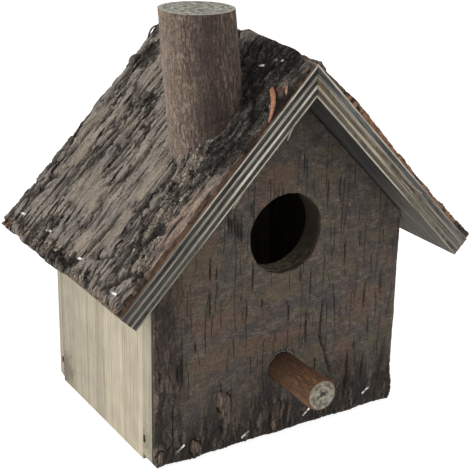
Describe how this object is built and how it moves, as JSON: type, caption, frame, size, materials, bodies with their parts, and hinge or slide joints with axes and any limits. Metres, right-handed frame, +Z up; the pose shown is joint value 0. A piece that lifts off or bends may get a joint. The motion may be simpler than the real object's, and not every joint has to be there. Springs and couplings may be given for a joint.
{
  "type": "hanging birdhouse",
  "caption": "Small gabled wooden birdhouse dressed in tree bark, with a round entrance, a stick perch, a plywood roof and a branch-log chimney; hangs from a hole in its back.",
  "frame": {"origin": "on the ground, under the middle of the whole object's box", "axes": "+Z up, -Y out of the front with the entrance and perch, +X to the right as seen from the front"},
  "size_m": [0.1801, 0.1296, 0.1906],
  "materials": {
    "pine_board": "bare sawn pine, slightly weathered",
    "thin_plywood": "bare thin plywood",
    "roof_plywood": "weathered plywood with the plies showing on its edges",
    "roof_bark": "rough fissured grey-brown bark",
    "front_bark": "dark brown bark with upright cracks",
    "log": "branch with thin grey-brown bark and a sawn end",
    "perch_stick": "stick with warm brown bark and a sawn end",
    "staple_wire": "bright flat staple wire",
    "brad_steel": "dull steel"
  },
  "bodies": {
    "root": {"front_panel": "pine_board", "left_side": "pine_board", "right_side": "pine_board", "back_panel": "thin_plywood", "floor_board": "thin_plywood", "left_roof_board": "roof_plywood", "right_roof_board": "roof_plywood", "left_roof_bark": "roof_bark", "right_roof_bark": "roof_bark", "front_bark": "front_bark", "chimney_log": "log", "perch": "perch_stick", "left_roof_staples": "staple_wire", "right_roof_staples": "staple_wire", "front_bark_staples": "staple_wire", "front_panel_brads": "brad_steel", "back_panel_brads": "brad_steel", "roof_board_brads": "brad_steel", "chimney_screw": "brad_steel"}
  },
  "joints": []
}
